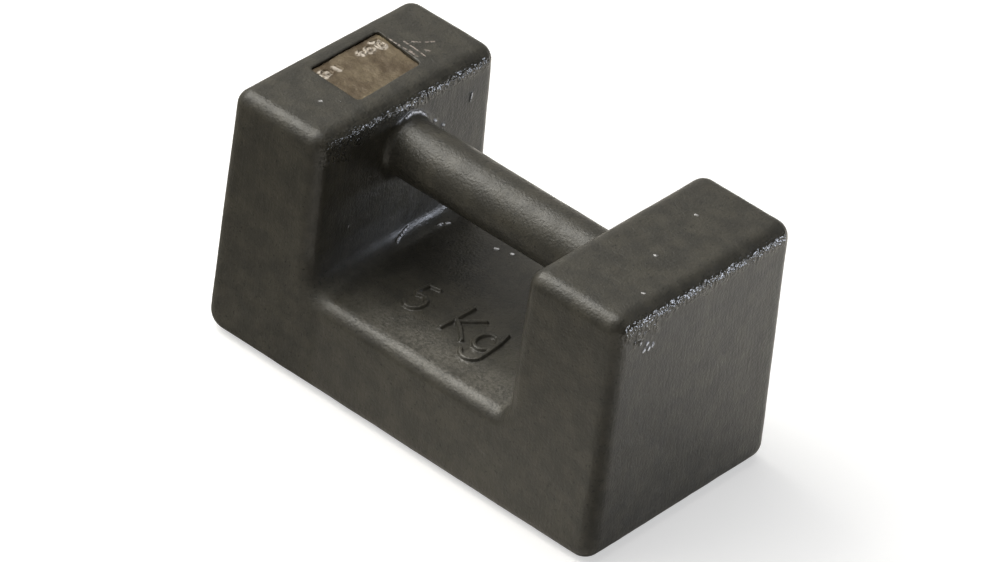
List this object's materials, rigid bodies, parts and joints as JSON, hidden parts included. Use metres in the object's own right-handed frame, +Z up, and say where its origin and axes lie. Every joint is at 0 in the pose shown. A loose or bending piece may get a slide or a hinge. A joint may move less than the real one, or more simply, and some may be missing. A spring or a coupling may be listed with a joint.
{
  "type": "calibration weight",
  "caption": "Rectangular cast-iron bar weight with a notch and integral round grip, and an adjusting cavity closed by a lead seal in the top of one upright.",
  "frame": {"origin": "middle of the underside, on the surface that the weight stands on", "axes": "+X along the length and the grip, away from the upright with the seal; -Y is the side from which the raised figures read upright; +Z up"},
  "size_m": [0.1528, 0.0798, 0.0855],
  "materials": {
    "painted_iron": "satin dark olive-black paint over a fine sand-cast skin",
    "plate_steel": "mild steel sheet",
    "seal_lead": "dull hammered lead with a thin film of paint",
    "pellet_lead": "dull cut lead wire"
  },
  "bodies": {
    "root": {"weight_body": "painted_iron", "closing_plate": "plate_steel", "lead_seal": "seal_lead", "adjusting_lead": "pellet_lead"}
  },
  "joints": []
}
